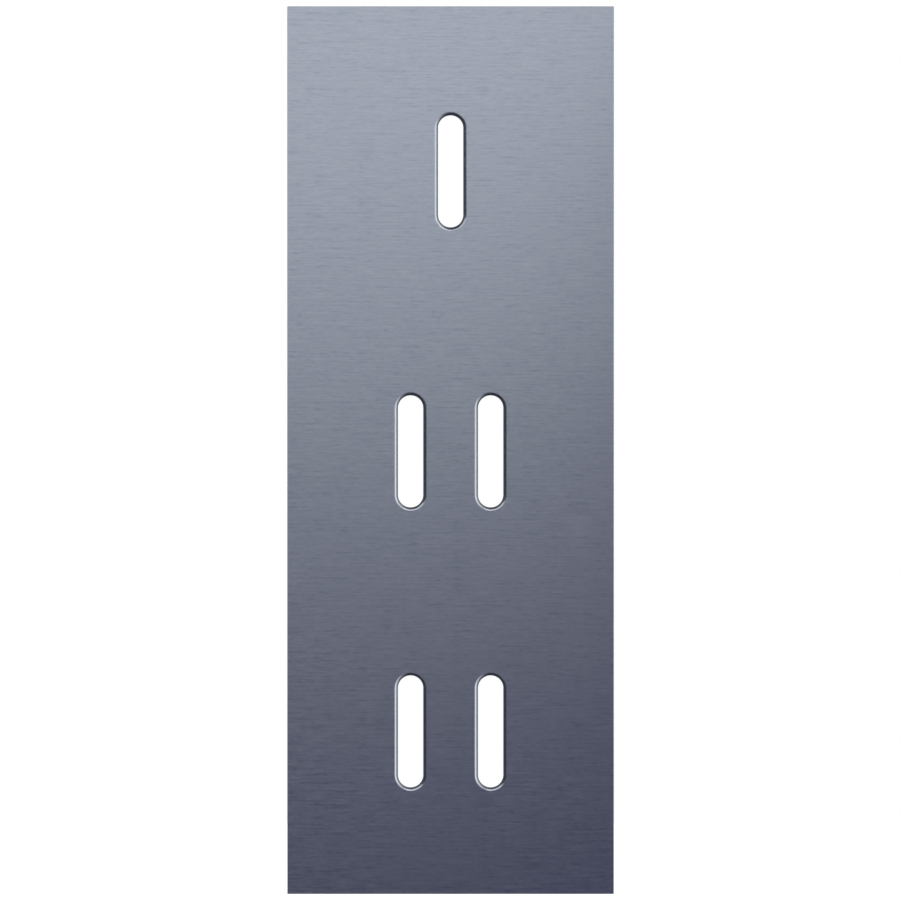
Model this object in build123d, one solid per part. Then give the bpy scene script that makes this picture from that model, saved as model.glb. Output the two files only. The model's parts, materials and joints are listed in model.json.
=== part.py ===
from build123d import *
import os

# Metal cover plate for a tall light switch, slotted for the levers of three wall boxes.
# Millimetres: X runs across the plate, Z up, and the wall is the plane Y = 0.
# The front faces -Y, and the origin is the centre of the plate's outline on the wall.

# Outline, with one row of slots in front of each wall box
PLATE_WIDTH = 82.8
ROW_PITCH = 71.0  # standard spacing of joined wall boxes
TOP_MARGIN = 41.8  # from the plate's top edge down to the centre of the top row
BOTTOM_MARGIN = 41.2  # from the centre of the bottom row down to the plate's bottom edge

# Section: a face wall with a hollow back, which closes over the wall frame
FACE_WALL = 3.0
RECESS_DEPTH = 3.0
RIM = 2.5  # wall left standing round the hollow back
RECESS_CORNER = 3.0  # inner corners, rounded by the cutter
EDGE_BREAK = 0.15  # chamfer that takes the sharpness off the front outline

# Upright slots with round ends
SLOTS_PER_ROW = (1, 2, 2)  # from the top row down
SLOT_WIDTH = 6.4  # clear width between the slot's walls
SLOT_LENGTH = 28.4  # clear length, round ends included
SLOT_PITCH = 20.3  # from slot to slot within a row
SLOT_EDGE_RADIUS = 1.3  # rounding of the slot's front edge
BRUSHED_OFF = 0.08  # taken off the whole face after that, which leaves a crisp line round the slot

PLATE_DEPTH = FACE_WALL + RECESS_DEPTH
PLATE_HEIGHT = TOP_MARGIN + (len(SLOTS_PER_ROW) - 1) * ROW_PITCH + BOTTOM_MARGIN

# The wall plane, whose normal points out of the wall towards the front
WALL = Plane.XZ


def slot_centres():
    """Centre of each slot as (across, up), from the top row down."""
    top_row = PLATE_HEIGHT / 2 - TOP_MARGIN
    return [
        ((place - (count - 1) / 2) * SLOT_PITCH, top_row - row * ROW_PITCH)
        for row, count in enumerate(SLOTS_PER_ROW)
        for place in range(count)
    ]


def front_face(solid):
    return solid.faces().sort_by(Axis.Y)[0]


def plate_blank():
    """Square-cornered bar, thicker than the plate by what the brushing takes off."""
    return extrude(WALL * Rectangle(PLATE_WIDTH, PLATE_HEIGHT), PLATE_DEPTH + BRUSHED_OFF)


def hollow_back():
    """What the cutter takes out of the back, inside the rim."""
    outline = RectangleRounded(PLATE_WIDTH - 2 * RIM, PLATE_HEIGHT - 2 * RIM, RECESS_CORNER)
    return extrude(WALL * outline, RECESS_DEPTH)


def slot_cuts():
    """Straight-walled cuts through the face, one for each slot."""
    outline = SlotOverall(SLOT_LENGTH, SLOT_WIDTH, rotation=90)
    outlines = Sketch() + [Pos(across, up) * outline for across, up in slot_centres()]
    return extrude(WALL * outlines, PLATE_DEPTH + BRUSHED_OFF)


def slot_mouths(solid):
    """The edges round all slots in the solid's front face."""
    return [edge for wire in front_face(solid).inner_wires() for edge in wire.edges()]


def brushed_layer():
    """What the brushing takes off the whole face."""
    return extrude(WALL.offset(PLATE_DEPTH) * Rectangle(PLATE_WIDTH, PLATE_HEIGHT), BRUSHED_OFF)


def cover_plate():
    """One solid: hollowed and slotted, its slots rounded, its face brushed flat and its outline broken."""
    plate = plate_blank() - hollow_back() - slot_cuts()
    plate = fillet(slot_mouths(plate), SLOT_EDGE_RADIUS) - brushed_layer()
    return chamfer(front_face(plate).outer_wire().edges(), EDGE_BREAK)


os.makedirs("parts", exist_ok=True)
export_step(cover_plate(), "parts/cover_plate.step")
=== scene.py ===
import json
import math
from typing import NamedTuple

import bmesh
import bpy
from bmesh.types import BMEdge, BMFace, BMVert
from bpy.props import FloatProperty, FloatVectorProperty, IntProperty, PointerProperty
from bpy.types import Operator, Panel, PropertyGroup
from mathutils import Matrix, Vector


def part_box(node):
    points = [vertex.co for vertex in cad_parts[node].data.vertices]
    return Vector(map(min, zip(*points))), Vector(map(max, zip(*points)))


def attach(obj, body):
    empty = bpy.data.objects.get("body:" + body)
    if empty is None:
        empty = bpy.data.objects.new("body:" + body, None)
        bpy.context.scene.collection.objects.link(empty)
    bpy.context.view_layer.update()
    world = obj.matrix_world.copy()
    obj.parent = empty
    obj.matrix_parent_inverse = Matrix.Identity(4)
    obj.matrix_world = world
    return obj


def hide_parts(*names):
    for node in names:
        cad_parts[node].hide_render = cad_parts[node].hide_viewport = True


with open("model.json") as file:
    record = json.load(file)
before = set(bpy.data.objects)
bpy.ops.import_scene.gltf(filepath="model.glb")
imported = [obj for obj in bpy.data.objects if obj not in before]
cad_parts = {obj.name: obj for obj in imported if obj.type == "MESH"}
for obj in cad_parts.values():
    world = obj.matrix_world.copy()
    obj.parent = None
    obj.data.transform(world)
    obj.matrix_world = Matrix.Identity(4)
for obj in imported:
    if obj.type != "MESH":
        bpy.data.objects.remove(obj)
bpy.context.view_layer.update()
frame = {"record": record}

bl_info = {
    "name": "Slotted Switch Plate",
    "version": (1, 0, 0),
    "blender": (4, 5, 0),
    "location": "3D View > Sidebar > Switch Plate",
    "description": "Builds the brushed metal cover plate of a light switch and a studio to show it in",
    "category": "Add Mesh",
}

NODE = "cover_plate"
BRUSH_MAP = "brush"

PLATE_LOW, PLATE_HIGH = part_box(NODE)
PLATE_SIZE = PLATE_HIGH - PLATE_LOW
PLATE_CENTRE = (PLATE_LOW + PLATE_HIGH) / 2
FRONT = PLATE_LOW.y
WALL = PLATE_HIGH.y

# A plate with square corners has so many flat sides
SIDES = 4

# Two points nearer than this count as one
MERGE = 1e-6

# Faces that meet at more than this angle show a crisp edge between them
CRISP = math.radians(17)

# Profile of a bevel that is part of a circle
ROUND = 0.5

# Half the side of the unit square that a grid starts as
HALF_UNIT = 0.5

# Material slots of the plate's mesh
BRUSHED, CUT, MILLED = range(3)

# For the axis that a face looks along: the axis that its tool ran along, and the one across that
X, Y, Z = range(3)
TOOL_AXES = {X: (Z, Y), Y: (X, Z), Z: (X, Y)}

# Reflections are stretched across the brushing, a quarter of a turn from it
BRUSH_TURN = 0.25


class Streak(NamedTuple):
    """Marks of one size that a tool leaves, with the share that they have in the whole pattern."""

    length: float
    thickness: float
    share: float


HAIRLINES = (
    Streak(length=0.0011, thickness=0.0005, share=0.16),
    Streak(length=0.0022, thickness=0.0005, share=0.26),
    Streak(length=0.0060, thickness=0.0005, share=0.30),
    Streak(length=0.0160, thickness=0.0005, share=0.18),
    Streak(length=0.0800, thickness=0.0005, share=0.10),
)
CUTTER_PASSES = (
    Streak(length=0.3, thickness=0.004, share=0.5),
    Streak(length=0.02, thickness=0.0004, share=0.5),
)

# How far apart in the noise the layers of a pattern are taken from, counted in marks
LAYER_GAP = 171.37

# Levels of a pattern that lies round one half: nearly all of them, those of its deepest marks,
# and those over which it changes the roughness
MARK_LEVELS = (0.3, 0.7)
DASH_LEVELS = (0.30, 0.42)
GLOSS_LEVELS = (0.4, 0.7)

# The cutter's marks in the slots: their size, how far they are broken up, and nearly all their levels
SLOT_MARK = 0.0004
SLOT_MARK_DETAIL = 2.0
SLOT_MARK_LEVELS = (0.2, 0.8)

# Shades over which a colour turns from deep to pale: black, and twice as bright as the colour
SHADES = (0, 2)

# Depth of a direction in the studio, from straight in front of the plate to straight behind it
DEPTHS = (-1, 1)
AHEAD = -0.94
BESIDE = (-0.76, -0.15)
HIDDEN = (0.05, 0.5)
BEHIND = 0.74
BACKDROP = (0.9, 1)

# Depths over which the studio's soft lights come in and go out
WINDOW_IN = (-0.87, -0.7)
FILL_IN = (-0.85, -0.75)
FILL_OUT = (-0.62, -0.5)
STRIP_IN = (0.0, 0.1)
STRIP_OUT = (0.3, 0.42)

# How much there is of a light where it comes in and where it goes out
RISING = (0, 1)
FALLING = (1, 0)

WHITE = (1, 1, 1, 1)

# The camera sees so many times as far as the plate
VIEW_DEPTH = 10


class PlateShape(PropertyGroup):
    """Sizes of the plate that its outline doesn't give."""

    face_wall: FloatProperty(
        name="Face Wall",
        description="Thickness of the wall that the slots go through",
        default=0.003,
        unit="LENGTH",
    )
    rim: FloatProperty(
        name="Rim",
        description="Wall left standing round the hollow back",
        default=0.0025,
        unit="LENGTH",
    )
    recess_corner: FloatProperty(
        name="Recess Corner",
        description="Radius of the hollow back's corners",
        default=0.003,
        unit="LENGTH",
    )
    edge_break: FloatProperty(
        name="Edge Break",
        description="Rounding that takes the sharpness off the outer edges",
        default=0.00012,
        unit="LENGTH",
        precision=5,
    )
    slot_width: FloatProperty(
        name="Slot Width",
        description="Clear width between a slot's walls",
        default=0.0064,
        unit="LENGTH",
    )
    slot_length: FloatProperty(
        name="Slot Length",
        description="Clear length of a slot, round ends included",
        default=0.0284,
        unit="LENGTH",
    )
    slot_edge_radius: FloatProperty(
        name="Slot Edge Radius",
        description="Rounding of a slot's front edge",
        default=0.0013,
        unit="LENGTH",
    )
    brushed_off: FloatProperty(
        name="Brushed Off",
        description="Taken off the whole face after the rounding, which leaves a crisp line round a slot",
        default=0.00008,
        unit="LENGTH",
        precision=5,
    )
    end_steps: IntProperty(
        name="End Steps",
        description="Faces round each half circle of a slot",
        default=48,
    )
    rounding_steps: IntProperty(
        name="Rounding Steps",
        description="Faces across a rounded slot edge",
        default=12,
    )
    edge_steps: IntProperty(
        name="Edge Steps",
        description="Faces across a broken outer edge",
        default=6,
    )
    recess_steps: IntProperty(
        name="Recess Steps",
        description="Faces round a corner of the hollow back",
        default=24,
    )


class PlateFinish(PropertyGroup):
    """Colour and grain of the metal."""

    metal_colour: FloatVectorProperty(
        name="Metal Colour",
        description="Blue-grey of the anodised metal",
        default=(0.48, 0.525, 0.60),
        subtype="COLOR",
        size=3,
    )
    face_roughness: FloatProperty(
        name="Face Roughness",
        description="Mean roughness of the brushed faces",
        default=0.305,
        subtype="FACTOR",
    )
    brush_pull: FloatProperty(
        name="Brush Pull",
        description="How far the brushing stretches reflections across itself",
        default=0.4,
        subtype="FACTOR",
    )
    hairline_depth: FloatProperty(
        name="Hairline Depth",
        description="How much the hairlines lighten and darken the metal",
        default=0.077,
        subtype="FACTOR",
    )
    hairline_blue: FloatProperty(
        name="Hairline Blue",
        description="How much bluer the hairlines leave the metal where they darken it",
        default=1.4,
    )
    dash_depth: FloatProperty(
        name="Dash Depth",
        description="How much more the deepest hairlines darken it",
        default=0.052,
        subtype="FACTOR",
    )
    hairline_gloss: FloatProperty(
        name="Hairline Gloss",
        description="How much the hairlines change the roughness",
        default=0.021,
        subtype="FACTOR",
    )
    edge_roughness: FloatProperty(
        name="Edge Roughness",
        description="Mean roughness of the slots' polished lips",
        default=0.26,
        subtype="FACTOR",
    )
    slot_mark_depth: FloatProperty(
        name="Slot Mark Depth",
        description="How much the cutter's marks in the slots change the shade and the roughness",
        default=0.06,
        subtype="FACTOR",
    )
    # The lip's depths set where it turns rougher, and where painted shade starts to darken a slot's wall
    # and where it is full
    bore_start: FloatProperty(
        name="Bore Start",
        description="Depth below the face at which a slot's polished lip begins to turn dull",
        default=0.0005,
        unit="LENGTH",
        precision=5,
    )
    bore_end: FloatProperty(
        name="Bore End",
        description="Depth below the face from which a slot's wall is quite dull",
        default=0.0008,
        unit="LENGTH",
        precision=5,
    )
    # Painted shade: the share of the metal's colour left on a slot's wall below its lip, darkened as if
    # shade fell there
    bore_painted_shade: FloatProperty(
        name="Bore Shade",
        description="Share of the metal's colour that is left on a slot's dull wall",
        default=0.2,
        subtype="FACTOR",
    )
    bore_roughness: FloatProperty(
        name="Bore Roughness",
        description="Roughness of a slot's dull wall",
        default=0.5,
        subtype="FACTOR",
    )
    milled_roughness: FloatProperty(
        name="Milled Roughness",
        description="Mean roughness of the milled sides and back",
        default=0.45,
        subtype="FACTOR",
    )
    pass_depth: FloatProperty(
        name="Pass Depth",
        description="How much the cutter's passes lighten and darken the milled metal",
        default=0.07,
        subtype="FACTOR",
    )
    pass_gloss: FloatProperty(
        name="Pass Gloss",
        description="How much the cutter's passes change the milled metal's roughness",
        default=0.04,
        subtype="FACTOR",
    )


class PlateStudio(PropertyGroup):
    """Lamps, backdrop, floor and camera. A lamp of brightness 1 is as bright as a white card."""

    key_place: FloatVectorProperty(
        name="Key Place",
        description="Centre of the softbox that hangs like a roof in front of the plate",
        default=(-0.082, -0.339, 0.0834),
        subtype="TRANSLATION",
        size=3,
    )
    key_lean: FloatProperty(
        name="Key Lean",
        description="Slope of the key softbox, which comes down away from the plate",
        default=math.radians(12.65),
        subtype="ANGLE",
    )
    key_size: FloatVectorProperty(
        name="Key Size",
        description="Width and length of the key softbox",
        default=(0.311, 0.581),
        unit="LENGTH",
        size=2,
    )
    key_colour: FloatVectorProperty(
        name="Key Colour",
        description="Colour of the key softbox, with its brightness",
        default=(0.953, 0.949, 0.910),
        subtype="COLOR",
        size=3,
    )
    window_way: FloatVectorProperty(
        name="Window Way",
        description="Direction of the soft window light that the slots' left and lower edges catch",
        default=(0.945, -0.26, 0.157),
        subtype="DIRECTION",
        size=3,
    )
    window_brightness: FloatProperty(
        name="Window Brightness",
        description="Brightness of the window light in the middle",
        default=1.47,
    )
    window_spread: FloatProperty(
        name="Window Spread",
        description="How quickly the window light fades towards its edges: more is narrower",
        default=2.0,
    )
    fill_way: FloatVectorProperty(
        name="Fill Way",
        description="Direction of the fill light, which the face shows from the right or from above",
        default=(-0.388, -0.682, -0.62),
        subtype="DIRECTION",
        size=3,
    )
    fill_brightness: FloatProperty(
        name="Fill Brightness",
        description="Brightness of the fill light in the middle",
        default=0.30,
    )
    fill_spread: FloatProperty(
        name="Fill Spread",
        description="How quickly the fill light fades towards its edges: more is narrower",
        default=4.0,
    )
    strip_way: FloatVectorProperty(
        name="Strip Way",
        description="Direction of the strip light that the plate's sides catch and its slots can't see",
        default=(-1.0, 0.0, 0.0),
        subtype="DIRECTION",
        size=3,
    )
    strip_brightness: FloatProperty(
        name="Strip Brightness",
        description="Brightness of the strip light in the middle",
        default=1.2,
    )
    strip_spread: FloatProperty(
        name="Strip Spread",
        description="How quickly the strip light fades towards its ends: more is shorter",
        default=6.0,
    )
    light_colour: FloatVectorProperty(
        name="Light Colour",
        description="Warm white of the window, fill and strip lights",
        default=(1.0, 0.966, 0.918),
        subtype="COLOR",
        size=3,
    )
    front_colour: FloatVectorProperty(
        name="Front Colour",
        description="Colour of the unlit studio straight in front of the plate and just behind its plane",
        default=(0.0225, 0.0225, 0.079),
        subtype="COLOR",
        size=3,
    )
    side_wall_colour: FloatVectorProperty(
        name="Side Wall Colour",
        description="Colour of the unlit studio in front of the plate, to the sides, above and below",
        default=(0.055, 0.058, 0.075),
        subtype="COLOR",
        size=3,
    )
    back_wall_colour: FloatVectorProperty(
        name="Back Wall Colour",
        description="Colour of the unlit studio behind the plate, round the white backdrop",
        default=(0.42, 0.425, 0.44),
        subtype="COLOR",
        size=3,
    )
    floor_radius: FloatProperty(
        name="Floor Radius",
        description="How far the round floor reaches",
        default=1.2,
        unit="LENGTH",
    )
    floor_steps: IntProperty(
        name="Floor Steps",
        description="Straight pieces in the floor's round edge",
        default=64,
    )
    floor_colour: FloatVectorProperty(
        name="Floor Colour",
        description="Pale grey of the floor",
        default=(0.8, 0.8, 0.8),
        subtype="COLOR",
        size=3,
    )
    floor_roughness: FloatProperty(
        name="Floor Roughness",
        description="Roughness of the floor",
        default=0.9,
        subtype="FACTOR",
    )
    floor_glow: FloatProperty(
        name="Floor Glow",
        description="White that only the camera sees on the floor, as on the backdrop",
        default=0.96,
    )
    frame_width: FloatProperty(
        name="Frame Width",
        description="Width of what the camera shows, at the plate's face",
        default=0.22815,
        unit="LENGTH",
    )
    frame_shift: FloatVectorProperty(
        name="Frame Shift",
        description="How far the camera stands to the right of the plate's middle and above it",
        default=(-0.00016, 0.00005),
        unit="LENGTH",
        precision=5,
        size=2,
    )
    lens: FloatProperty(
        name="Lens",
        description="Focal length in millimetres, long enough to leave no perspective",
        default=1000.0,
    )


class SwitchPlateSettings(PropertyGroup):
    """Everything that a user would change."""

    shape: PointerProperty(type=PlateShape, name="Shape", description="Sizes of the plate")
    finish: PointerProperty(type=PlateFinish, name="Finish", description="Colour and grain of the metal")
    studio: PointerProperty(type=PlateStudio, name="Studio", description="Stage to show the plate on")


# Shape of the plate


def only(kind, items):
    """The items of one kind among those that a mesh operator hands back."""
    return [item for item in items if isinstance(item, kind)]


def recess_floor(shape):
    """Depth at which the face wall ends and the hollow back begins."""
    return FRONT + shape.face_wall


def slot_centres():
    """Centre of each slot as (across, up), from the openings that the record states."""
    boxes = [
        opening["box_m"]
        for opening in frame["record"]["physics"]["openings"]
        if opening["name"].startswith("slot_")
    ]
    middles = [(Vector(low) + Vector(high)) / 2 for low, high in boxes]
    return [(middle.x, middle.z) for middle in middles]


def outer_walls(bm, shape):
    """The plate's four sides, with all outer edges just broken and the front and back left open."""
    placed = Matrix.Translation(PLATE_CENTRE) @ Matrix.Diagonal((*PLATE_SIZE, 1))
    bmesh.ops.create_cube(bm, size=1, matrix=placed)
    bmesh.ops.bevel(
        bm,
        geom=list(bm.edges),
        offset=shape.edge_break,
        offset_type="OFFSET",
        segments=shape.edge_steps,
        profile=ROUND,
        affect="EDGES",
        material=-1,
    )
    by_depth = sorted(bm.faces, key=lambda face: face.calc_center_median().y)
    bmesh.ops.delete(bm, geom=[by_depth[0], by_depth[-1]], context="FACES_ONLY")
    by_area = sorted(bm.faces, key=lambda face: face.calc_area())
    for face in by_area[-SIDES:]:
        face.material_index = MILLED


def recess_walls(bm, shape):
    """The wall round the hollow back, from the rim down to the recess floor."""
    known = set(bm.edges)
    width = PLATE_SIZE.x - 2 * shape.rim
    height = PLATE_SIZE.z - 2 * shape.rim
    moved = Matrix.Translation((PLATE_CENTRE.x, WALL, PLATE_CENTRE.z))
    upright = Matrix.Rotation(math.pi / 2, 4, "X")
    placed = moved @ upright @ Matrix.Diagonal((width, height, 1, 1))
    mouth = bmesh.ops.create_grid(bm, x_segments=1, y_segments=1, size=HALF_UNIT, matrix=placed)
    bmesh.ops.bevel(
        bm,
        geom=mouth["verts"],
        offset=shape.recess_corner,
        offset_type="OFFSET",
        segments=shape.recess_steps,
        profile=ROUND,
        affect="VERTICES",
        material=-1,
    )
    outline = [edge for edge in bm.edges if edge not in known]
    bmesh.ops.delete(bm, geom=outline[0].link_faces[:], context="FACES_ONLY")
    wall = bmesh.ops.extrude_edge_only(bm, edges=outline)["geom"]
    for vert in only(BMVert, wall):
        vert.co.y = recess_floor(shape)
    for face in only(BMFace, wall):
        face.material_index = MILLED


def slot_section(bm, shape, across, up):
    """Section of a slot's right side: its rounded mouth, and its wall down to the recess floor."""
    known = set(bm.edges)
    radius = shape.slot_edge_radius
    tilt = math.acos(1 - shape.brushed_off / radius)
    centre = Vector((across + radius, FRONT + radius - shape.brushed_off, up))
    mouth = bm.verts.new(centre - radius * Vector((math.sin(tilt), math.cos(tilt), 0)))
    rounded = bmesh.ops.spin(
        bm,
        geom=[mouth],
        cent=centre,
        axis=(0, 0, 1),
        angle=tilt - math.pi / 2,
        steps=shape.rounding_steps,
    )
    wall = bmesh.ops.extrude_vert_indiv(bm, verts=only(BMVert, rounded["geom_last"]))
    for vert in wall["verts"]:
        vert.co.y = recess_floor(shape)
    return [edge for edge in bm.edges if edge not in known]


def sweep_slot(bm, shape, across, up):
    """One slot: the section of its wall, swept round both ends and along both sides."""
    known = set(bm.faces)
    half_width = shape.slot_width / 2
    reach = shape.slot_length / 2 - half_width
    section = slot_section(bm, shape, across + half_width, up + reach)
    for direction in (1, -1):
        turned = bmesh.ops.spin(
            bm,
            geom=section,
            cent=(across, FRONT, up + direction * reach),
            axis=(0, -1, 0),
            angle=math.pi,
            steps=shape.end_steps,
        )
        side = bmesh.ops.extrude_edge_only(bm, edges=only(BMEdge, turned["geom_last"]))["geom"]
        bmesh.ops.translate(bm, verts=only(BMVert, side), vec=(0, 0, -direction * 2 * reach))
        section = only(BMEdge, side)
    for face in bm.faces:
        if face not in known:
            face.material_index = CUT


def close_level(bm, depth, material):
    """A flat face at one depth, filled between the open loops that lie there."""
    rings = [
        edge
        for edge in bm.edges
        if edge.is_boundary and all(abs(vert.co.y - depth) < MERGE for vert in edge.verts)
    ]
    filled = bmesh.ops.triangle_fill(bm, use_beauty=True, use_dissolve=False, edges=rings)
    for face in only(BMFace, filled["geom"]):
        face.material_index = material


def lay_brush_map(bm):
    """A map in metres on each face, whose first axis runs the way that the face's tool ran."""
    layer = bm.loops.layers.uv.new(BRUSH_MAP)
    for face in bm.faces:
        facing = [abs(part) for part in face.normal]
        along, over = TOOL_AXES[facing.index(max(facing))]
        for loop in face.loops:
            loop[layer].uv = (loop.vert.co[along], loop.vert.co[over])


def plate_mesh(shape):
    """The whole plate as one closed mesh, smooth where it is rounded and crisp at its other edges."""
    bm = bmesh.new()
    outer_walls(bm, shape)
    recess_walls(bm, shape)
    for across, up in slot_centres():
        sweep_slot(bm, shape, across, up)
    bmesh.ops.remove_doubles(bm, verts=list(bm.verts), dist=MERGE)
    close_level(bm, FRONT, BRUSHED)
    close_level(bm, recess_floor(shape), MILLED)
    close_level(bm, WALL, BRUSHED)
    bmesh.ops.recalc_face_normals(bm, faces=list(bm.faces))
    lay_brush_map(bm)
    mesh = bpy.data.meshes.new(NODE)
    bm.to_mesh(mesh)
    bm.free()
    mesh.shade_smooth()
    mesh.set_sharp_from_angle(angle=CRISP)
    return mesh


# Shader nodes


def node(tree, kind, **values):
    """A new shader node with its settings and unlinked sockets filled in."""
    made = tree.nodes.new(kind)
    for name, value in values.items():
        if hasattr(made, name):
            setattr(made, name, value)
        else:
            made.inputs[name.replace("_", " ")].default_value = value
    return made


def spread(tree, value, source, result):
    """A value mapped from one range onto another, and held within it."""
    lowest, highest = source
    first, last = result
    ranged = node(
        tree, "ShaderNodeMapRange", From_Min=lowest, From_Max=highest, To_Min=first, To_Max=last
    )
    tree.links.new(value, ranged.inputs["Value"])
    return ranged.outputs["Result"]


def joined(tree, operation, first, second):
    """Two values taken together by one operation of arithmetic."""
    made = node(tree, "ShaderNodeMath", operation=operation)
    tree.links.new(first, made.inputs[0])
    tree.links.new(second, made.inputs[1])
    return made.outputs["Value"]


def times(tree, first, second):
    """The product of two values."""
    return joined(tree, "MULTIPLY", first, second)


# Finishes of the metal


def new_metal(name):
    """A new metal material, with its node tree and its shader."""
    material = bpy.data.materials.new(name)
    material.use_nodes = True
    tree = material.node_tree
    shader = tree.nodes["Principled BSDF"]
    shader.inputs["Metallic"].default_value = 1.0
    return material, tree, shader


def streaks(tree, layers):
    """A pattern round one half of noise layers that are drawn out along the way that the tool ran."""
    place = node(tree, "ShaderNodeUVMap", uv_map=BRUSH_MAP)
    total = None
    for number, layer in enumerate(layers, start=1):
        apart = number * LAYER_GAP
        scale = (1 / layer.length, 1 / layer.thickness, 1)
        drawn = node(tree, "ShaderNodeMapping", Location=(apart, apart, 0), Scale=scale)
        noise = node(tree, "ShaderNodeTexNoise", noise_dimensions="2D", Scale=1.0, Detail=0.0)
        added = node(tree, "ShaderNodeMath", operation="MULTIPLY_ADD")
        tree.links.new(place.outputs["UV"], drawn.inputs["Vector"])
        tree.links.new(drawn.outputs["Vector"], noise.inputs["Vector"])
        tree.links.new(noise.outputs["Fac"], added.inputs[0])
        added.inputs[1].default_value = layer.share
        added.inputs[2].default_value = 0.0
        if total:
            tree.links.new(total, added.inputs[2])
        total = added.outputs["Value"]
    return total


def tint(tree, shader, colour, shade, deeper=0.0):
    """Gives the shader a colour that a pattern lightens and darkens, and deepens where it is darker."""
    shaded = node(tree, "ShaderNodeHueSaturation", Color=(*colour, 1))
    tree.links.new(shade, shaded.inputs["Value"])
    if deeper:
        strength = spread(tree, shade, SHADES, (1 + deeper, 1 - deeper))
        tree.links.new(strength, shaded.inputs["Saturation"])
    tree.links.new(shaded.outputs["Color"], shader.inputs["Base Color"])


def brushed_metal(finish):
    """The face, the rim's back and the broken edges: hairlines, of which the deepest are dark dashes."""
    material, tree, shader = new_metal("brushed_metal")
    shader.inputs["Anisotropic"].default_value = finish.brush_pull
    shader.inputs["Anisotropic Rotation"].default_value = BRUSH_TURN
    tangent = node(tree, "ShaderNodeTangent", direction_type="UV_MAP", uv_map=BRUSH_MAP)
    tree.links.new(tangent.outputs["Tangent"], shader.inputs["Tangent"])

    pattern = streaks(tree, HAIRLINES)
    deep = finish.hairline_depth
    lines = spread(tree, pattern, MARK_LEVELS, (1 - deep, 1 + deep))
    dashes = spread(tree, pattern, DASH_LEVELS, (1 - finish.dash_depth, 1))
    tint(tree, shader, finish.metal_colour, times(tree, lines, dashes), finish.hairline_blue)
    even = finish.face_roughness
    gloss = finish.hairline_gloss
    rough = spread(tree, pattern, GLOSS_LEVELS, (even - gloss / 2, even + gloss))
    tree.links.new(rough, shader.inputs["Roughness"])
    return material


def cut_metal(finish):
    """The slots: a polished lip with faint marks of the cutter, which turns into a duller, rougher wall
    that painted shade darkens.
    """
    material, tree, shader = new_metal("cut_metal")
    place = node(tree, "ShaderNodeTexCoord")
    marks = node(tree, "ShaderNodeTexNoise", Scale=1 / SLOT_MARK, Detail=SLOT_MARK_DETAIL)
    tree.links.new(place.outputs["Object"], marks.inputs["Vector"])
    parts = node(tree, "ShaderNodeSeparateXYZ")
    tree.links.new(place.outputs["Object"], parts.inputs["Vector"])
    depth = parts.outputs["Y"]

    deep = finish.slot_mark_depth
    marked = spread(tree, marks.outputs["Fac"], SLOT_MARK_LEVELS, (1 - deep, 1 + deep))
    lip = (FRONT + finish.bore_start, FRONT + finish.bore_end)
    # Painted shade: the slot's colour darkens from the lip down into its wall, where shade falls
    painted_bore_shade = spread(tree, depth, lip, (1, finish.bore_painted_shade))
    tint(tree, shader, finish.metal_colour, times(tree, painted_bore_shade, marked))
    even = spread(tree, depth, lip, (finish.edge_roughness, finish.bore_roughness))
    tree.links.new(times(tree, even, marked), shader.inputs["Roughness"])
    return material


def milled_metal(finish):
    """The sides and the hollow back: duller metal, with the passes of the cutter just showing."""
    material, tree, shader = new_metal("milled_metal")
    pattern = streaks(tree, CUTTER_PASSES)
    deep = finish.pass_depth
    tint(tree, shader, finish.metal_colour, spread(tree, pattern, MARK_LEVELS, (1 - deep, 1 + deep)))
    even = finish.milled_roughness
    gloss = finish.pass_gloss
    rough = spread(tree, pattern, MARK_LEVELS, (even - gloss, even + gloss))
    tree.links.new(rough, shader.inputs["Roughness"])
    return material


class SWITCHPLATE_OT_cover_plate(Operator):
    """Builds the slotted plate with its hollow back and its metal finishes"""

    bl_idname = "switchplate.cover_plate"
    bl_label = "Cover Plate"

    def execute(self, context):
        settings = context.scene.switch_plate
        mesh = plate_mesh(settings.shape)
        for metal in (brushed_metal, cut_metal, milled_metal):
            mesh.materials.append(metal(settings.finish))
        plate = bpy.data.objects.new("slotted_plate", mesh)
        context.scene.collection.objects.link(plate)
        flatten = plate.modifiers.new("flat_faces", "WEIGHTED_NORMAL")
        flatten.mode = "FACE_AREA"
        flatten.keep_sharp = True
        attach(plate, "root")
        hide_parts(NODE)
        return {"FINISHED"}


# Studio


def softbox(scene, name, place, turn, size, colour):
    """A soft lamp of that colour and brightness, hidden from the camera."""
    width, length = size
    brightness = max(colour)
    lamp = bpy.data.lights.new(name, "AREA")
    lamp.shape = "RECTANGLE"
    lamp.size = width
    lamp.size_y = length
    lamp.color = [part / brightness for part in colour]
    lamp.energy = brightness * math.pi * width * length
    box = bpy.data.objects.new(name, lamp)
    box.location = place
    box.rotation_euler = turn
    box.visible_camera = False
    scene.collection.objects.link(box)


def studio_walls(tree, depth, studio):
    """Colour of the unlit studio, from straight in front of the plate to straight behind it."""
    walls = node(tree, "ShaderNodeValToRGB")
    stops = walls.color_ramp.elements
    levels = (
        (AHEAD, studio.front_colour),
        (BESIDE[0], studio.side_wall_colour),
        (BESIDE[1], studio.side_wall_colour),
        (HIDDEN[0], studio.front_colour),
        (HIDDEN[1], studio.front_colour),
        (BEHIND, studio.back_wall_colour),
    )
    nearest, farthest = DEPTHS
    for place, colour in levels:
        stops.new((place - nearest) / (farthest - nearest)).color = (*colour, 1)
    stops.remove(stops[0])
    stops.remove(stops[-1])
    tree.links.new(spread(tree, depth, DEPTHS, (0, 1)), walls.inputs["Fac"])
    return walls.outputs["Color"]


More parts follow.
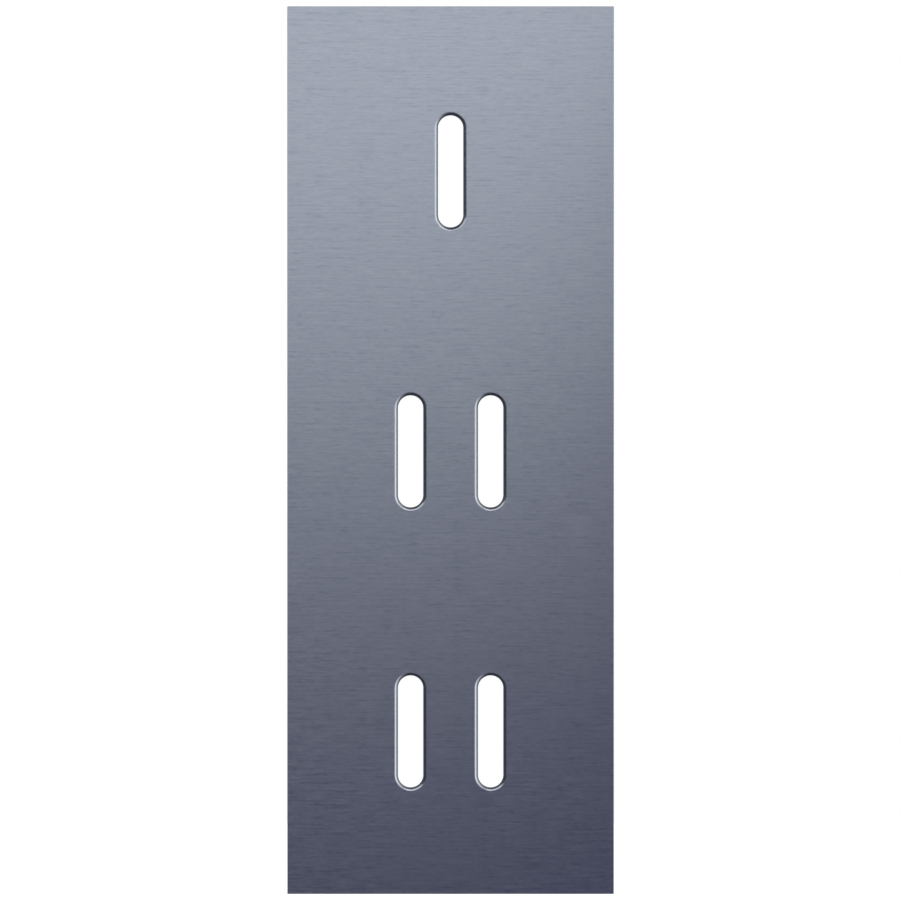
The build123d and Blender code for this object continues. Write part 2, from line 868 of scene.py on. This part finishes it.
def soft_glow(tree, direction, way, brightness, fade):
    """Brightness of a wide soft light that fades away from its own direction."""
    towards = node(tree, "ShaderNodeVectorMath", operation="DOT_PRODUCT")
    tree.links.new(direction, towards.inputs[0])
    towards.inputs[1].default_value = way
    soft = node(tree, "ShaderNodeMath", operation="POWER")
    tree.links.new(spread(tree, towards.outputs["Value"], (0, 1), (0, 1)), soft.inputs[0])
    soft.inputs[1].default_value = fade
    return spread(tree, soft.outputs["Value"], (0, 1), (0, brightness))


def between(tree, depth, comes_in, goes_out):
    """One between two depths, and nothing on either side of them."""
    return times(tree, spread(tree, depth, comes_in, RISING), spread(tree, depth, goes_out, FALLING))


def window_light(tree, direction, depth, studio):
    """The window at the right, kept away from straight in front of the plate."""
    glow = soft_glow(tree, direction, studio.window_way, studio.window_brightness, studio.window_spread)
    return times(tree, glow, spread(tree, depth, WINDOW_IN, RISING))


def fill_light(tree, direction, depth, studio):
    """The fill at the lower left, kept out of what face and slots show from straight in front."""
    glow = soft_glow(tree, direction, studio.fill_way, studio.fill_brightness, studio.fill_spread)
    return times(tree, glow, between(tree, depth, FILL_IN, FILL_OUT))


def strip_light(tree, direction, depth, studio):
    """The strip at the left, just behind the face's plane, where the plate hides it from its slots."""
    glow = soft_glow(tree, direction, studio.strip_way, studio.strip_brightness, studio.strip_spread)
    return times(tree, glow, between(tree, depth, STRIP_IN, STRIP_OUT))


def lit_studio(tree, direction, depth, studio):
    """The dim walls of the studio, with its window, fill and strip lights."""
    walls = tree.nodes["Background"]
    tree.links.new(studio_walls(tree, depth, studio), walls.inputs["Color"])
    lights = node(tree, "ShaderNodeBackground", Color=(*studio.light_colour, 1))
    strength = window_light(tree, direction, depth, studio)
    for light in (fill_light, strip_light):
        strength = joined(tree, "ADD", strength, light(tree, direction, depth, studio))
    tree.links.new(strength, lights.inputs["Strength"])
    lit = node(tree, "ShaderNodeAddShader")
    tree.links.new(walls.outputs["Background"], lit.inputs[0])
    tree.links.new(lights.outputs["Background"], lit.inputs[1])
    return lit.outputs["Shader"]


def white_share(tree, depth):
    """Where white shows: everywhere to the camera, and straight behind the plate in metal and glass."""
    ray = node(tree, "ShaderNodeLightPath").outputs
    reflected = joined(tree, "MAXIMUM", ray["Is Glossy Ray"], ray["Is Transmission Ray"])
    behind = spread(tree, depth, BACKDROP, RISING)
    return joined(tree, "MAXIMUM", ray["Is Camera Ray"], times(tree, reflected, behind))


def backdrop_world(scene, studio):
    """The white backdrop, and the lit studio that takes its place in most reflections."""
    world = bpy.data.worlds.new("studio")
    world.use_nodes = True
    scene.world = world
    tree = world.node_tree
    place = node(tree, "ShaderNodeTexCoord")
    direction = place.outputs["Generated"]
    parts = node(tree, "ShaderNodeSeparateXYZ")
    tree.links.new(direction, parts.inputs["Vector"])
    depth = parts.outputs["Y"]

    white = node(tree, "ShaderNodeBackground", Color=WHITE, Strength=1.0)
    mixed = node(tree, "ShaderNodeMixShader")
    tree.links.new(white_share(tree, depth), mixed.inputs["Fac"])
    tree.links.new(lit_studio(tree, direction, depth, studio), mixed.inputs[1])
    tree.links.new(white.outputs["Background"], mixed.inputs[2])
    tree.links.new(mixed.outputs["Shader"], tree.nodes["World Output"].inputs["Surface"])


def floor_finish(studio):
    """Pale and matt, with white for the camera as on the backdrop."""
    material = bpy.data.materials.new("pale_floor")
    material.use_nodes = True
    tree = material.node_tree
    shader = tree.nodes["Principled BSDF"]
    shader.inputs["Base Color"].default_value = (*studio.floor_colour, 1)
    shader.inputs["Roughness"].default_value = studio.floor_roughness
    shader.inputs["Emission Color"].default_value = WHITE
    ray = node(tree, "ShaderNodeLightPath")
    glow = spread(tree, ray.outputs["Is Camera Ray"], (0, 1), (0, studio.floor_glow))
    tree.links.new(glow, shader.inputs["Emission Strength"])
    return material


def pale_floor(scene, studio):
    """A pale floor that the plate stands on. It keeps the plate's shadow."""
    bm = bmesh.new()
    bmesh.ops.create_circle(
        bm,
        cap_ends=True,
        segments=studio.floor_steps,
        radius=studio.floor_radius,
        matrix=Matrix.Translation((0, 0, PLATE_LOW.z)),
    )
    mesh = bpy.data.meshes.new("floor")
    bm.to_mesh(mesh)
    bm.free()
    mesh.materials.append(floor_finish(studio))
    floor = bpy.data.objects.new("floor", mesh)
    floor.visible_glossy = False
    scene.collection.objects.link(floor)


def front_camera(scene, studio):
    """A long lens square to the plate's face."""
    camera_data = bpy.data.cameras.new("front_camera")
    camera_data.lens = studio.lens
    distance = studio.frame_width * camera_data.lens / camera_data.sensor_width
    camera_data.clip_end = VIEW_DEPTH * distance
    camera = bpy.data.objects.new("front_camera", camera_data)
    right, up = studio.frame_shift
    camera.location = (PLATE_CENTRE.x + right, FRONT - distance, PLATE_CENTRE.z + up)
    camera.rotation_euler = (math.pi / 2, 0, 0)
    scene.collection.objects.link(camera)
    scene.camera = camera


class SWITCHPLATE_OT_studio(Operator):
    """Sets up the soft lamps, the white backdrop, the floor and the camera"""

    bl_idname = "switchplate.studio"
    bl_label = "Studio"

    def execute(self, context):
        scene = context.scene
        studio = scene.switch_plate.studio
        lean = (studio.key_lean, 0, 0)
        softbox(scene, "key_softbox", studio.key_place, lean, studio.key_size, studio.key_colour)
        backdrop_world(scene, studio)
        pale_floor(scene, studio)
        front_camera(scene, studio)
        scene.view_settings.view_transform = "Standard"
        return {"FINISHED"}


class SWITCHPLATE_PT_sidebar(Panel):
    """Lists the plate's settings and the steps that build it"""

    bl_idname = "SWITCHPLATE_PT_sidebar"
    bl_label = "Switch Plate"
    bl_space_type = "VIEW_3D"
    bl_region_type = "UI"
    bl_category = "Switch Plate"

    def draw(self, context):
        settings = context.scene.switch_plate
        for group in (settings.shape, settings.finish, settings.studio):
            box = self.layout.box()
            for name in group.__annotations__:
                box.prop(group, name)
        for operator in (SWITCHPLATE_OT_cover_plate, SWITCHPLATE_OT_studio):
            self.layout.operator(operator.bl_idname)


CLASSES = (
    PlateShape,
    PlateFinish,
    PlateStudio,
    SwitchPlateSettings,
    SWITCHPLATE_OT_cover_plate,
    SWITCHPLATE_OT_studio,
    SWITCHPLATE_PT_sidebar,
)


def register():
    for cls in CLASSES:
        bpy.utils.register_class(cls)
    bpy.types.Scene.switch_plate = PointerProperty(type=SwitchPlateSettings)


def unregister():
    del bpy.types.Scene.switch_plate
    for cls in reversed(CLASSES):
        bpy.utils.unregister_class(cls)


def main():
    register()
    bpy.ops.switchplate.cover_plate()
    bpy.ops.switchplate.studio()


if __name__ == "__main__":
    main()
